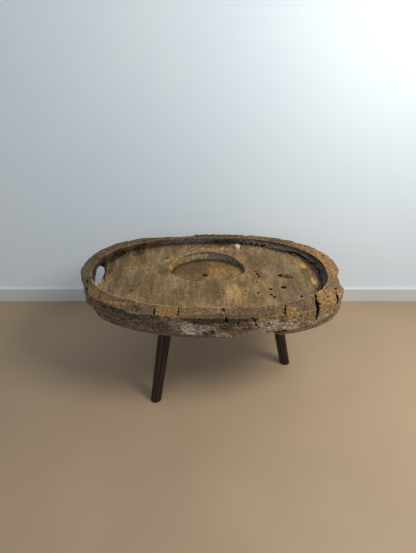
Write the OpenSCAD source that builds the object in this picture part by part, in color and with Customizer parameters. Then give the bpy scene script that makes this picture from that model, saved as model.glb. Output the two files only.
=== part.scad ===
// Carved wooden bowl: a large oval tray hollowed from one thick old plank, standing on three
// splayed round legs. +Z is up, +X runs along the length, and the origin is on the floor under
// the middle of the slab. All sizes are in millimetres.

/* [Slab] */
// Length of the slab, end to end
slab_length = 1118; // [960:1:1360]
// Width of the slab, front to back
slab_width = 686; // [590:1:840]
// Thickness of the slab at its rim
slab_thick = 106; // [92:1:130]
// Height of the slab's underside above the floor
under_height = 414; // [330:1:520]
// Radius of the hewn round along the lower edge
under_round = 22; // [12:1:36]

/* [Outline] */
// Squareness of the front left corner, 2 for an ellipse
bend_front_left = 2.15; // [2:0.05:3]
// Squareness of the back left corner
bend_back_left = 2.5; // [2:0.05:3]
// Squareness of the back right corner
bend_back_right = 2.45; // [2:0.05:3]
// Squareness of the front right corner
bend_front_right = 2.8; // [2:0.05:3.2]

/* [Rim] */
// Width of the rim at the back
rim_back = 33; // [26:1:60]
// Width of the rim at the front
rim_front = 70; // [40:1:90]
// Width of the rim at the left end, which is the carrying bar
rim_left = 50; // [42:1:70]
// Width of the rim at the right end
rim_right = 62; // [42:1:80]

/* [Hollow] */
// Depth of the hollow in the middle of the bowl
hollow_depth = 45; // [36:1:54]
// Slope of the hollow's floor, deeper towards the front, in degrees
hollow_tilt = 2.2; // [0:0.1:2.5]
// How far the hollow's wall leans in from rim to floor
wall_lean = 10; // [4:1:24]
// Squareness of the hollow's front left corner, 2 for an ellipse
hollow_front_left = 2.2; // [2:0.05:3]
// Squareness of the hollow's back left corner
hollow_back_left = 2.2; // [2:0.05:3]
// Squareness of the hollow's back right corner
hollow_back_right = 2.15; // [2:0.05:3]
// Squareness of the hollow's front right corner
hollow_front_right = 2.6; // [2:0.05:3]

/* [Round recess] */
// Radius of the round recess in the floor
recess_r = 169; // [130:1:185]
// Place of the recess's centre along the length
recess_x = -12; // [-40:1:40]
// Place of the recess's centre from front to back
recess_y = 52; // [40:1:70]
// Distance from the centre to the worn front edge of the recess
recess_front = 80; // [60:1:110]
// Depth of the recess below the floor at its back wall
recess_depth = 42; // [15:1:46]
// Depth of the recess at its worn front edge
recess_lip = 3; // [1:1:8]
// Lean of the recess's wall
recess_lean = 18; // [2:1:22]

/* [Centre mark] */
// Side of the square peg hole that marks the middle
mark_side = 20; // [10:1:24]
// Depth of the peg hole below the recess floor
mark_depth = 12; // [6:1:14]
// Place of the peg hole along the length
mark_x = -23; // [-60:1:30]
// Place of the peg hole from front to back
mark_y = 43; // [10:1:60]

/* [Hand hold] */
// Width of the slot behind the carrying bar
slot_width = 38; // [32:1:48]
// Length of the slot from front to back
slot_length = 178; // [130:1:190]
// Place of the slot's middle from front to back
slot_y = 36; // [10:1:44]
// Turn of the slot, following the end, in degrees
slot_turn = 8; // [0:1:12]
// Height to which the slot undercuts the wall, above the middle of the floor
slot_under = 14; // [6:1:20]
// Thickness of the carrying bar
bar_thick = 62; // [58:1:70]
// Reach of the finger scoop under the left end
scoop_reach = 145; // [125:1:165]

/* [Worn edges] */
// Place along the length where the back edge has split away
split_x = -80; // [-140:1:-40]
// Width of the strip that has split away
split_depth = 20; // [10:1:24]
// Angle of the split to the length, in degrees
split_angle = 5; // [3:0.5:8]
// Radius of the worn hollow in the right end
nip_right_r = 200; // [160:5:300]
// How far the right end's hollow is cut in from the end
nip_right = 26; // [16:1:36]
// Place of the right end's hollow from front to back
nip_right_y = -100; // [-120:1:-80]
// Radius of the worn flat across the left end's front corner
nip_left_r = 600; // [450:10:900]
// How far the left flat is cut in from the end
nip_left = 69; // [58:1:76]
// Place of the left flat's middle from front to back
nip_left_y = -295; // [-310:5:-280]
// Place along the length of the bite out of the front lower edge
bite_x = 186; // [120:1:240]
// Width of the bite
bite_width = 150; // [80:1:190]
// Height of the bite
bite_height = 30; // [15:1:36]
// Depth of the bite from front to back
bite_depth = 70; // [40:1:110]

/* [Legs] */
// Distance from the middle of the bowl to the two left feet
reach_left = 352; // [310:1:380]
// Angle of the two left feet either side of the length, in degrees
spread_left = 133; // [125:1:140]
// Distance from the middle of the bowl to the right foot
reach_right = 371; // [320:1:410]
// Angle of the right foot, in degrees
turn_right = -4; // [-8:1:8]
// Splay of the legs from upright, in degrees
splay = 13; // [8:0.5:16]
// Diameter of a leg where it meets the slab
leg_top_d = 58; // [52:1:70]
// Diameter of a leg at the floor
leg_foot_d = 48; // [36:1:56]

/* [Joints] */
// Diameter of the round tenon on top of each leg
tenon_d = 38; // [30:1:44]
// Length of the tenon
tenon_length = 34; // [24:1:36]
// Gap between the tenon and its socket, all round
tenon_gap = 0.3; // [0.2:0.05:0.6]
// Gap between the tenon's end and the bottom of its blind socket
socket_gap = 1.5; // [1:0.5:3]
// Length of the hidden wedge in the tenon's end
wedge_length = 22; // [14:1:24]
// Thickness of the wedge at its driven end
wedge_thick = 7; // [5:0.5:9]
// Thickness of the wedge at its thin end
wedge_tip = 2; // [1:0.5:3]

/* [Plug] */
// Diameter across the corners of the whittled plug in the floor
plug_d = 31; // [22:1:36]
// Height of the plug above the floor
plug_stand = 16; // [6:1:20]
// Depth of the plug's hole in the floor
plug_sink = 20; // [12:1:24]
// Place of the plug along the length
plug_x = 134; // [110:1:160]
// Distance from the bowl's back edge to the plug's middle
plug_inset = 86; // [80:1:110]
// Gap between the plug and its hole
plug_gap = 0.3; // [0.2:0.05:0.6]

/* [Hidden] */
$fn = 96;

RIM_Z = under_height + slab_thick;
FLOOR_Z = RIM_Z - hollow_depth;
HALF_L = slab_length / 2;
HALF_W = slab_width / 2;
OVER = 2;                    // how far a cut runs past the face it opens
ROUND_STEPS = 4;             // slices in the hewn lower edge
SLICE = 1;                   // thickness of a slice
QUARTER_STEPS = 18;          // outline points in a quarter turn
PLUG_SIDES = 7;
RECESS_TILT = atan((recess_depth - recess_lip) / (recess_r + recess_front));
LIP_Y = recess_y - recess_front;
LEG_AXIS = under_height / cos(splay);        // along a leg up to the slab's underside
PLUG_Y = HALF_W - plug_inset;
SLOT_X = -HALF_L + rim_left + slot_width / 2;

// Height of the hollow's floor at a distance y from the middle
function floor_at(y) = FLOOR_Z + y * tan(hollow_tilt);

// One corner of an oval, from angle a: half sizes w and h, squareness n
function corner(w, h, n, a) = [w * sign(cos(a)) * pow(abs(cos(a)), 2 / n),
    h * sign(sin(a)) * pow(abs(sin(a)), 2 / n)];

// A hewn oval about [x, y], with a squareness for each quarter, back right first
function hewn_oval(x, y, w, h, bends) = [for (q = [0:3], i = [0:QUARTER_STEPS - 1])
    [x, y] + corner(w, h, bends[q], 90 * (q + i / QUARTER_STEPS))];

// The slab's outline, drawn in by the given amount
module slab_outline(inset = 0) {
    polygon(hewn_oval(0, 0, HALF_L - inset, HALF_W - inset,
        [bend_back_right, bend_back_left, bend_front_left, bend_front_right]));
}

// The hollow's outline at the rim, drawn in by the given amount
module hollow_outline(inset = 0) {
    w = HALF_L - (rim_left + rim_right) / 2;
    h = HALF_W - (rim_back + rim_front) / 2;
    polygon(hewn_oval((rim_left - rim_right) / 2, (rim_front - rim_back) / 2,
        w - inset, h - inset,
        [hollow_back_right, hollow_back_left, hollow_front_left, hollow_front_right]));
}

// The rounded block that the bowl is cut from
module slab() {
    hull() {
        translate([0, 0, under_height + under_round])
            linear_extrude(slab_thick - under_round)
                slab_outline();
        for (i = [1:ROUND_STEPS]) {
            a = 90 * i / ROUND_STEPS;
            translate([0, 0, under_height + under_round * (1 - sin(a))])
                linear_extrude(SLICE)
                    slab_outline(under_round * (1 - cos(a)));
        }
    }
}

// The space over the hollow's floor
module hollow() {
    deep = 1.5 * hollow_depth;
    intersection() {
        hull() {
            translate([0, 0, RIM_Z + OVER])
                linear_extrude(SLICE)
                    hollow_outline();
            translate([0, 0, RIM_Z - deep])
                linear_extrude(SLICE)
                    hollow_outline(wall_lean * deep / hollow_depth);
        }
        translate([0, 0, FLOOR_Z])
            rotate([hollow_tilt, 0, 0])
                translate([-slab_length, -slab_width, 0])
                    cube([2 * slab_length, 2 * slab_width, slab_thick]);
    }
}

// The sunk round in the floor, full depth at its back wall and worn shallow at the front
module recess() {
    front_r = (pow(recess_r, 2) + pow(recess_front, 2)) / (2 * recess_front);
    intersection() {
        translate([recess_x, recess_y, FLOOR_Z - recess_depth])
            cylinder(r1 = recess_r - recess_lean, r2 = recess_r + recess_lean,
                h = 2 * recess_depth);
        translate([recess_x, LIP_Y + front_r, FLOOR_Z - recess_depth])
            cylinder(r = front_r, h = 3 * recess_depth);
        translate([recess_x, LIP_Y, floor_at(LIP_Y) - recess_lip])
            rotate([hollow_tilt - RECESS_TILT, 0, 0])
                translate([-2 * recess_r, -recess_r, 0])
                    cube([4 * recess_r, 4 * recess_r, 2 * recess_depth]);
    }
}

// The square peg hole, turned corner to corner
module centre_mark() {
    base = floor_at(LIP_Y) - recess_lip - (mark_y - LIP_Y) * tan(RECESS_TILT - hollow_tilt);
    translate([mark_x, mark_y, base - mark_depth])
        rotate(45)
            translate([-mark_side / 2, -mark_side / 2, 0])
                cube([mark_side, mark_side, mark_depth + recess_depth]);
}

// The slot behind the carrying bar, which undercuts the hollow's wall low down
module hand_slot() {
    straight = slot_length - slot_width;
    translate([SLOT_X, slot_y, under_height])
        rotate(slot_turn)
            linear_extrude(slab_thick - hollow_depth + slot_under)
                union() {
                    square([slot_width, straight], center = true);
                    for (end = [-1, 1])
                        translate([0, end * straight / 2])
                            circle(d = slot_width);
                }
}

// The finger scoop under the left end, which thins the end to the carrying bar
module finger_scoop() {
    top = RIM_Z - bar_thick;
    inner = -HALF_L + scoop_reach;
    flat_end = SLOT_X + slot_width / 2;
    translate([0, HALF_W + OVER, 0])
        rotate([90, 0, 0])
            linear_extrude(slab_width + 2 * OVER)
                polygon([[-HALF_L - OVER, under_height - OVER], [inner, under_height - OVER],
                    [inner, under_height], [flat_end, top], [-HALF_L - OVER, top]]);
}

// Splits and bites along the outer edge
module worn_edges() {
    tall = 3 * slab_thick;
    translate([split_x, HALF_W - split_depth, RIM_Z - tall / 2])
        rotate(split_angle)
            translate([-HALF_L / 2, 0, 0])
                cube([HALF_L / 2, 4 * split_depth, tall]);
    translate([HALF_L + nip_right_r - nip_right, nip_right_y, RIM_Z - tall / 2])
        cylinder(r = nip_right_r, h = tall);
    translate([-HALF_L - nip_left_r + nip_left, nip_left_y, RIM_Z - tall / 2])
        cylinder(r = nip_left_r, h = tall);
    bite_r = (pow(bite_width / 2, 2) + pow(bite_height, 2)) / (2 * bite_height);
    translate([bite_x, -HALF_W + bite_depth, under_height + bite_height - bite_r])
        rotate([90, 0, 0])
            cylinder(r = bite_r, h = 2 * bite_depth);
}

// Moves a part from the origin onto the leg whose foot is at this reach and angle, so that
// +Z runs up the leg's axis
module on_leg(reach, angle) {
    rotate(angle)
        translate([reach, 0, 0])
            rotate([0, -splay, 0])
                children();
}

// A blind socket for a tenon
module socket(reach, angle) {
    deep = tenon_length + socket_gap;
    on_leg(reach, angle)
        translate([0, 0, LEG_AXIS - leg_top_d / 2])
            cylinder(d = tenon_d + 2 * tenon_gap, h = leg_top_d / 2 + deep);
}

// The wedge's shape on a leg's own axis
module wedge_shape() {
    thin = LEG_AXIS + tenon_length - wedge_length;
    intersection() {
        translate([0, tenon_d, 0])
            rotate([90, 0, 0])
                linear_extrude(2 * tenon_d)
                    polygon([[-wedge_tip / 2, thin], [wedge_tip / 2, thin],
                        [wedge_thick / 2, thin + wedge_length],
                        [-wedge_thick / 2, thin + wedge_length]]);
        cylinder(d = tenon_d, h = 2 * LEG_AXIS);
    }
}

module bowl() {
    color("#8a6f4d")
        difference() {
            slab();
            hollow();
            recess();
            centre_mark();
            hand_slot();
            finger_scoop();
            worn_edges();
            socket(reach_left, -spread_left);
            socket(reach_left, spread_left);
            socket(reach_right, turn_right);
            translate([plug_x, PLUG_Y, floor_at(PLUG_Y) - plug_sink])
                cylinder(d = plug_d + 2 * plug_gap, h = plug_sink + hollow_depth / 2);
        }
}

// A tapered leg with its sole cut level, its shoulder cut to the underside and its tenon
// split for the wedge
module leg(reach, angle) {
    run = leg_top_d;
    slope = (leg_top_d - leg_foot_d) / 2 / LEG_AXIS;
    color("#2a1a12")
        difference() {
            union() {
                intersection() {
                    on_leg(reach, angle)
                        translate([0, 0, -run])
                            cylinder(r1 = leg_foot_d / 2 - slope * run,
                                r2 = leg_top_d / 2 + slope * run, h = LEG_AXIS + 2 * run);
                    translate([-slab_length, -slab_length, 0])
                        cube([2 * slab_length, 2 * slab_length, under_height]);
                }
                on_leg(reach, angle)
                    translate([0, 0, LEG_AXIS - run])
                        cylinder(d = tenon_d, h = run + tenon_length);
            }
            on_leg(reach, angle)
                wedge_shape();
        }
}

module wedge(reach, angle) {
    color("#b08a55")
        on_leg(reach, angle)
            wedge_shape();
}

// A seven-sided whittled plug, driven into the floor
module pale_plug() {
    base = floor_at(PLUG_Y) - plug_sink;
    color("#d8cba6")
        translate([plug_x, PLUG_Y, base])
            cylinder(d = plug_d, h = plug_sink + plug_stand, $fn = PLUG_SIDES);
}

bowl();
leg(reach_left, -spread_left);  // leg_front_left
leg(reach_left, spread_left);  // leg_rear_left
leg(reach_right, turn_right);  // leg_right
wedge(reach_left, -spread_left);  // wedge_front_left
wedge(reach_left, spread_left);  // wedge_rear_left
wedge(reach_right, turn_right);  // wedge_right
pale_plug();
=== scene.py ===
import math

import bmesh
import bpy
import numpy as np
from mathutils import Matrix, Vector
from mathutils.bvhtree import BVHTree


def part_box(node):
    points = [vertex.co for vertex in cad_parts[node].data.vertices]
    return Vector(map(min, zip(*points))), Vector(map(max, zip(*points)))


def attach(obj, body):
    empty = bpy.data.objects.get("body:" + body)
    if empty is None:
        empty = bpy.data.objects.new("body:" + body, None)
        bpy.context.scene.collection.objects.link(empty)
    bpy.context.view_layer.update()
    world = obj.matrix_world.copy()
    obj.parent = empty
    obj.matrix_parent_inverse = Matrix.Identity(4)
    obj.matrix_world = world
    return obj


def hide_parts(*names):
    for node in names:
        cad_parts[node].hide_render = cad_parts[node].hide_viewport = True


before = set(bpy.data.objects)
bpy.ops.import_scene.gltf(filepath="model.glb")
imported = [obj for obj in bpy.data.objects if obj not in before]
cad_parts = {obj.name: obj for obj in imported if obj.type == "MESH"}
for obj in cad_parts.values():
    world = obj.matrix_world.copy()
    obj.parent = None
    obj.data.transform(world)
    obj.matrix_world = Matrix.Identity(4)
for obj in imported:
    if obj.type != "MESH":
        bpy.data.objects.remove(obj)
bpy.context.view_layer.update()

# ---- The room ------------------------------------------------------------------------------
# The bowl stands on a plain pale floor, half a metre in front of a plain pale wall with a low
# skirting. A broad soft lamp stands to the right and in front, and the sky fills the rest.

WALL_Y = 0.50
SKIRTING = (0.085, 0.014)              # height and thickness
ROOM = 4.0                             # half width of what is built of the room
EYE = (-0.013, -1.477, 1.41)
EYE_PITCH = 57.84                      # degrees up from looking straight down
LENS = (26.04, 36.0, 0.0018)           # focal length and sensor in mm, sideways shift
SKY = ((0.84, 0.92, 1.0, 1.0), 0.36)


def shown(name, data):
    """A new object in the scene that holds this data."""
    thing = bpy.data.objects.new(name, data)
    bpy.context.scene.collection.objects.link(thing)
    return thing


def sheet_of(name, corners, faces):
    mesh = bpy.data.meshes.new(name)
    mesh.from_pydata(corners, [], faces)
    mesh.update()
    return shown(name, mesh)


def fill(tree, made, inputs):
    """Links a node's inputs to the sockets given for them, or sets their values."""
    for key, value in inputs.items():
        socket = next(s for s in made.inputs if s.name == key.replace("_", " ") and s.enabled)
        if isinstance(value, bpy.types.NodeSocket):
            tree.links.new(value, socket)
        else:
            socket.default_value = value
    return made


def put(tree, kind, settings=None, **inputs):
    """Adds a node to a tree, with its settings first and then its inputs."""
    made = tree.nodes.new(kind if "Node" in kind else "ShaderNode" + kind)
    for key, value in (settings or {}).items():
        setattr(made, key, value)
    return fill(tree, made, inputs)


def blend(tree, amount, under, over, how="MIX"):
    """Lays one colour over another by an amount."""
    made = tree.nodes.new("ShaderNodeMix")
    made.data_type = "RGBA"
    made.blend_type = how
    for index, value in ((0, amount), (6, under), (7, over)):
        if isinstance(value, bpy.types.NodeSocket):
            tree.links.new(value, made.inputs[index])
        elif index:
            made.inputs[index].default_value = (*value, 1.0)
        else:
            made.inputs[index].default_value = value
    return made.outputs[2]


def sums(tree, how, *terms):
    """A Math node of the given kind."""
    made = tree.nodes.new("ShaderNodeMath")
    made.operation = how
    for index, value in enumerate(terms):
        if isinstance(value, bpy.types.NodeSocket):
            tree.links.new(value, made.inputs[index])
        else:
            made.inputs[index].default_value = value
    return made.outputs[0]


def ease(tree, value, low, high, start=0.0, end=1.0):
    """Takes a value smoothly from start to end as it goes from low to high."""
    made = put(tree, "MapRange", {"interpolation_type": "SMOOTHSTEP"}, Value=value,
               From_Min=low, From_Max=high, To_Min=start, To_Max=end)
    return made.outputs[0]


def new_finish(name):
    """An empty material with its Principled shader in place."""
    finish = bpy.data.materials.new(name)
    finish.use_nodes = True
    finish.node_tree.nodes.clear()
    shader = put(finish.node_tree, "BsdfPrincipled")
    out = put(finish.node_tree, "OutputMaterial")
    finish.node_tree.links.new(shader.outputs[0], out.inputs["Surface"])
    return finish, finish.node_tree, shader


def plain_finish(name, shade, other, roughness):
    finish, tree, shader = new_finish(name)
    at = put(tree, "TexCoord").outputs["Object"]
    cloud = put(tree, "TexNoise", Vector=at, Scale=1.4, Detail=3.0).outputs["Fac"]
    tone = blend(tree, ease(tree, cloud, 0.35, 0.65), shade, other)
    tree.links.new(tone, shader.inputs["Base Color"])
    shader.inputs["Roughness"].default_value = roughness
    behind = put(tree, "NewGeometry").outputs["Backfacing"]    # seen through from behind
    tree.links.new(sums(tree, "SUBTRACT", 1.0, behind), shader.inputs["Alpha"])
    return finish


floor = sheet_of("room_floor", [(-ROOM, -ROOM, 0), (ROOM, -ROOM, 0), (ROOM, ROOM, 0),
                                (-ROOM, ROOM, 0)], [(0, 1, 2, 3)])
wall = sheet_of("room_wall", [(-ROOM, WALL_Y, 0), (ROOM, WALL_Y, 0), (ROOM, WALL_Y, ROOM),
                              (-ROOM, WALL_Y, ROOM)], [(0, 1, 2, 3)])
near, top = WALL_Y - SKIRTING[1], SKIRTING[0]
skirting = sheet_of("room_skirting", [(-ROOM, near, 0), (ROOM, near, 0), (ROOM, near, top),
                                      (-ROOM, near, top), (ROOM, WALL_Y, top),
                                      (-ROOM, WALL_Y, top)], [(0, 1, 2, 3), (3, 2, 4, 5)])
for sheet, name, shade, other, roughness in (
        (floor, "pale_floor", (0.38, 0.268, 0.168), (0.42, 0.298, 0.188), 0.6),
        (wall, "pale_wall", (0.77, 0.86, 0.94), (0.80, 0.88, 0.95), 0.8),
        (skirting, "pale_skirting", (0.66, 0.68, 0.68), (0.68, 0.70, 0.70), 0.5)):
    sheet.data.materials.append(plain_finish(name, shade, other, roughness))


def soft_lamp(name, place, target, size, power, tint):
    lamp = bpy.data.lights.new(name, "AREA")
    lamp.shape = "DISK"
    lamp.size = size
    lamp.energy = power
    lamp.color = tint
    holder = shown(name, lamp)
    holder.location = place
    aim = Vector(target) - Vector(place)
    holder.rotation_euler = aim.to_track_quat("-Z", "Y").to_euler()


soft_lamp("window_lamp", (1.45, -0.85, 2.25), (0.0, 0.0, 0.45), 1.0, 47, (1.0, 0.97, 0.91))
soft_lamp("fill_lamp", (-1.2, -2.6, 1.9), (0.0, 0.0, 0.4), 2.0, 8, (0.88, 0.94, 1.0))

world = bpy.data.worlds.new("soft_sky")
world.use_nodes = True
world.node_tree.nodes["Background"].inputs["Color"].default_value = SKY[0]
world.node_tree.nodes["Background"].inputs["Strength"].default_value = SKY[1]
bpy.context.scene.world = world

camera_data = bpy.data.cameras.new("eye")
camera_data.lens, camera_data.sensor_width, camera_data.shift_x = LENS
camera = shown("eye", camera_data)
camera.location = EYE
camera.rotation_euler = (math.radians(EYE_PITCH), 0, 0)
bpy.context.scene.camera = camera
bpy.context.scene.view_settings.view_transform = "Standard"

# ---- The bowl ------------------------------------------------------------------------------
# A long oval tray hollowed with adze and gouge from one thick old plank of hardwood. It has
# shrunk and split across the rim, the worm and the weather have been at it, and the floor has
# been rubbed smooth by use. The hand slot, the round recess and the peg hole are cut by hand.

LOW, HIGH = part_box("bowl")
RIM_TOP = HIGH.z
UNDERSIDE = LOW.z
HOLLOW_DEPTH = 0.045
HOLLOW_SLOPE = math.tan(math.radians(2.2))
HOLLOW_MIDDLE = (-0.006, 0.0185)
HOLLOW_HALF = (0.503, 0.2915)
FOOT_IN = 0.008                        # how far the wall's foot lies inside the outline
HOLLOW_BENDS = (2.15, 2.2, 2.2, 2.6)   # squareness, back right, back left, then the front
FRONT_HALF = (0.559, 0.343)            # half length and half width of the slab's front
FRONT_BENDS = (2.15, 2.8)              # squareness of its left and right halves
RECESS = (-0.012, 0.052, 0.169)        # x, y and radius
PEG = (-0.023, 0.043)                  # middle of the square peg hole
SLOT_MIDDLE = (-0.490, 0.036)
SLOT_TURN = math.radians(8)
SLOT_HALF = 0.019                      # half the slot's width
SLOT_STRAIGHT = 0.070                  # half the length of its straight sides
VOXEL = 0.0027                         # size of the carved skin's cells
MOST_FACES = 196000
SINK = 0.0060                          # deepest weathering of a rough face
SOCKET_WAY = 0.77                      # a leg's socket, as a share of its way out
AROUND_LEG = (0.055, 0.085)            # no weathering nearer a leg than this, all beyond that
WORN_OVAL = (0.332, 0.013, 0.032, 0.020)    # dent in the floor: its middle and half sizes
WORN_TURNS = 4                         # passes that round the worn edges


def floor_height(y):
    return RIM_TOP - HOLLOW_DEPTH + y * HOLLOW_SLOPE


def rough(p, size, seed):
    """Smooth random heights from -1 to 1, with bumps of about this size in metres."""
    q = p / np.asarray(size) + seed * 17.31
    cell = np.floor(q).astype(np.int64)
    f = q - cell
    f = f * f * (3.0 - 2.0 * f)
    total = np.zeros(len(p))
    for corner in np.ndindex(2, 2, 2):
        c = cell + corner
        h = (c[:, 0] * 73856093) ^ (c[:, 1] * 19349663) ^ (c[:, 2] * 83492791)
        h = (h ^ (h >> 13)) * 1274126177
        h = ((h ^ (h >> 16)) & 0xFFFF) / 32767.5 - 1.0
        w = np.prod(np.where(corner, f, 1.0 - f), axis=1)
        total += h * w
    return total


def layered(p, size, seed, layers=3):
    """Several sizes of rough heights together."""
    size = np.asarray(size, dtype=float)
    return sum(rough(p, size / 2 ** k, seed + k) / 1.8 ** k for k in range(layers)) / 1.6


def rise(value, low, high):
    """Goes smoothly from 0 to 1 as a value goes from low to high."""
    t = np.clip((value - low) / (high - low), 0.0, 1.0)
    return t * t * (3.0 - 2.0 * t)


def fall(value, low, high):
    return 1.0 - rise(value, low, high)


def merged_copy(node, name):
    """A copy of a CAD solid with its corners joined up."""
    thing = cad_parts[node].copy()
    thing.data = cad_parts[node].data.copy()
    thing.name = name
    thing.data.name = name
    thing.parent = None
    for key in list(thing.keys()):
        del thing[key]
    thing.hide_render = False
    thing.hide_viewport = False
    bpy.context.scene.collection.objects.link(thing)
    work = bmesh.new()
    work.from_mesh(thing.data)
    bmesh.ops.remove_doubles(work, verts=work.verts, dist=1e-6)
    work.to_mesh(thing.data)
    work.free()
    thing.data.materials.clear()
    for name in [a.name for a in thing.data.attributes if a.name.startswith("custom")]:
        thing.data.attributes.remove(thing.data.attributes[name])
    return thing


def evaluated(thing):
    """The mesh that an object's modifiers make of it."""
    graph = bpy.context.evaluated_depsgraph_get()
    graph.update()
    return bpy.data.meshes.new_from_object(thing.evaluated_get(graph))


def bake_down(thing):
    """Replaces the object's mesh by what its modifiers make of it, and drops them."""
    made = evaluated(thing)
    thing.modifiers.clear()
    old = thing.data
    thing.data = made
    bpy.data.meshes.remove(old)
    return thing


def read(parts, key, wide, kind=float):
    """One row of values for each part of a mesh."""
    out = np.empty(len(parts) * wide, dtype=kind)
    parts.foreach_get(key, out)
    return out.reshape(-1, wide)


def mesh_points(mesh):
    return read(mesh.vertices, "co", 3)


def mesh_normals(mesh):
    return read(mesh.vertex_normals, "vector", 3)


def edge_pairs(mesh):
    return read(mesh.edges, "vertices", 2, np.int32)


def set_points(mesh, p):
    mesh.vertices.foreach_set("co", p.ravel())
    mesh.update()


def held_inside(p):
    """Points kept within the CAD bowl's own box."""
    return np.clip(p, np.array(LOW) + 1e-5, np.array(HIGH) - 1e-5)


def skin_of(mesh):
    """A mesh's surface, to measure distances to."""
    work = bmesh.new()
    work.from_mesh(mesh)
    skin = BVHTree.FromBMesh(work)
    work.free()
    return skin


# Cracks: where each runs, in millimetres, then how wide it is at the top and how deep it goes.
RIM_CRACKS = (
    (((497, -166), (493, -200), (489, -232), (478, -268), (468, -296)), 7, 50),
    (((412, -178), (408, -202), (405, -228)), 7, 50),
    (((405, -222), (403, -244), (402, -264), (399, -300)), 10.5, 60),
    (((398, -242), (406, -249), (419, -253)), 12, 26),
    (((-205, -260), (-208, -290), (-206, -330)), 7, 24),
    (((-119, -258), (-118, -300), (-121, -354)), 6, 30),
    (((40, -262), (48, -290), (55, -320), (57, -354)), 7, 30),
    (((284, -254), (276, -288), (268, -344)), 7.5, 24),
    (((318, -268), (323, -292), (317, -310)), 6, 9),
    (((-80, -284), (-66, -298), (-56, -310)), 6, 7),
    (((-516, -66), (-510, -86), (-503, -112)), 7, 26),
    (((-500, -128), (-494, -150), (-484, -186)), 6.5, 24), (((-519, -34), (-517, -46)), 6.5, 12),
    (((-522, 62), (-505, 66), (-490, 60)), 6, 8),
    (((526, 2), (517, -40), (507, -80)), 6.5, 8),
    (((534, -52), (524, -66), (518, -92)), 6.5, 9),
    (((-296, 293), (-318, 276), (-328, 258)), 7, 16),
    (((118, 318), (122, 344)), 6, 12),
    (((394, 224), (412, 234), (432, 240)), 6.5, 9),
    (((150, -268), (156, -286), (153, -300)), 6, 7), (((-262, -262), (-258, -280)), 6, 8),
    (((210, -300), (222, -322), (226, -336)), 6.5, 9), (((-20, -262), (-14, -284)), 6, 7),
    (((352, -280), (366, -300), (362, -316)), 6.5, 9), (((-402, -206), (-412, -236)), 6, 9),
    (((500, 60), (520, 52), (538, 56)), 6.5, 8), (((470, 120), (488, 128)), 6, 8),
)
SIDE_CRACKS = (                        # x and height on the front face
    (((138, 524), (150, 516), (158, 509), (163, 496), (168, 482), (180, 462)), 6.6, 18),
    (((56, 524), (58, 508), (62, 488)), 7, 16), (((-119, 524), (-121, 508)), 6, 12),
    (((-262, 499), (-215, 495), (-168, 492)), 5.5, 6), (((-334, 479), (-282, 472)), 5.5, 6),
    (((326, 448), (372, 452)), 6, 6), (((-150, 462), (-120, 458), (-88, 460)), 5.5, 6),
    (((240, 494), (262, 486)), 6, 6), (((-40, 500), (-6, 497)), 6, 7),
    (((-430, 470), (-390, 464), (-350, 462)), 5.5, 6), (((372, 500), (384, 480)), 6.5, 8),
)
FLOOR_PITS = (                         # x, y, half length, half width, depth, turn in degrees
    (-352, 74, 6, 4, 5, 20), (-331, -90, 6, 5, 6, 0), (-279, 103, 6, 3, 5, 60),
    (-282, 69, 7, 3, 4, -30), (-431, 13, 5, 3, 4, 0), (253, 103, 5, 4, 5, 30),
    (200, -29, 5, 4, 5, 70), (255, -82, 7, 6, 9, 60), (310, -69, 12, 7, 10, 20),
    (199, -108, 7, 5, 6, 80), (251, -122, 8, 4, 6, -50), (263, -137, 7, 5, 8, -20),
    (374, -132, 6, 5, 8, 0), (452, 29, 7, 6, 9, 40), (449, -73, 7, 6, 9, 0),
    (204, 50, 8, 4, 8, -50), (211, 30, 9, 5, 9, -70), (215, 10, 8, 4, 8, -70),
    (309, 20, 11, 8, 10, -20), (357, 7, 6, 6, 7, 0), (148, -94, 13, 3, 5, 0), (31, -2, 4, 3, 4, 0),
    (29, -105, 5, 3, 5, 0), (36, -125, 4, 3, 4, 50), (-107, -132, 5, 3, 4, 70),
    (-181, -25, 5, 3, 3, 0), (-202, 168, 9, 4, 4, 20), (150, 205, 6, 3, 4, 10),
    (-88, 262, 9, 3, 4, 10), (186, 262, 5, 3, 4, 0), (422, 60, 5, 4, 6, 0),
    (-245, 20, 5, 3, 3, 80), (-212, 60, 4, 3, 3, 0), (88, -150, 5, 3, 4, 0),
)
RIM_PITS = (
    (515, 123, 7, 5, 8, 0), (500, -151, 8, 7, 9, 0), (470, 160, 5, 4, 5, 30),
    (-512, 40, 7, 5, 6, 80), (-515, -18, 6, 4, 6, 60), (-503, -62, 7, 5, 9, 70),
    (-470, -150, 6, 5, 6, 0), (-445, -185, 7, 4, 5, -40), (-335, -262, 9, 5, 6, -20),
    (-282, -270, 8, 5, 7, 10), (-160, -296, 6, 5, 5, 0), (5, -292, 6, 4, 5, 0),
    (108, -275, 7, 5, 6, 40), (172, -300, 6, 5, 5, 0), (236, -272, 7, 4, 6, -30),
    (352, -268, 8, 5, 7, 20), (455, -205, 9, 6, 6, 60), (388, -246, 6, 5, 6, 0),
    (407, -249, 9, 7, 16, -25),
    (-40, 330, 9, 4, 5, 0), (240, 300, 9, 4, 5, -10), (-395, 232, 9, 4, 5, 40),
)
SIDE_PITS = (                          # x and height on the front face, then as above
    (-20, 443, 6, 5, 9, 0), (7, 452, 5, 7, 9, 0), (126, 470, 9, 4, 7, 0),
    (254, 441, 7, 6, 12, 0), (275, 446, 9, 6, 12, 0), (-180, 450, 6, 4, 5, 0),
    (-60, 496, 7, 5, 5, 0), (100, 492, 7, 6, 6, 0), (212, 486, 9, 6, 6, 0),
    (316, 478, 6, 8, 6, 0), (-150, 480, 8, 4, 5, 0), (36, 478, 6, 8, 6, 0),
)

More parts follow.
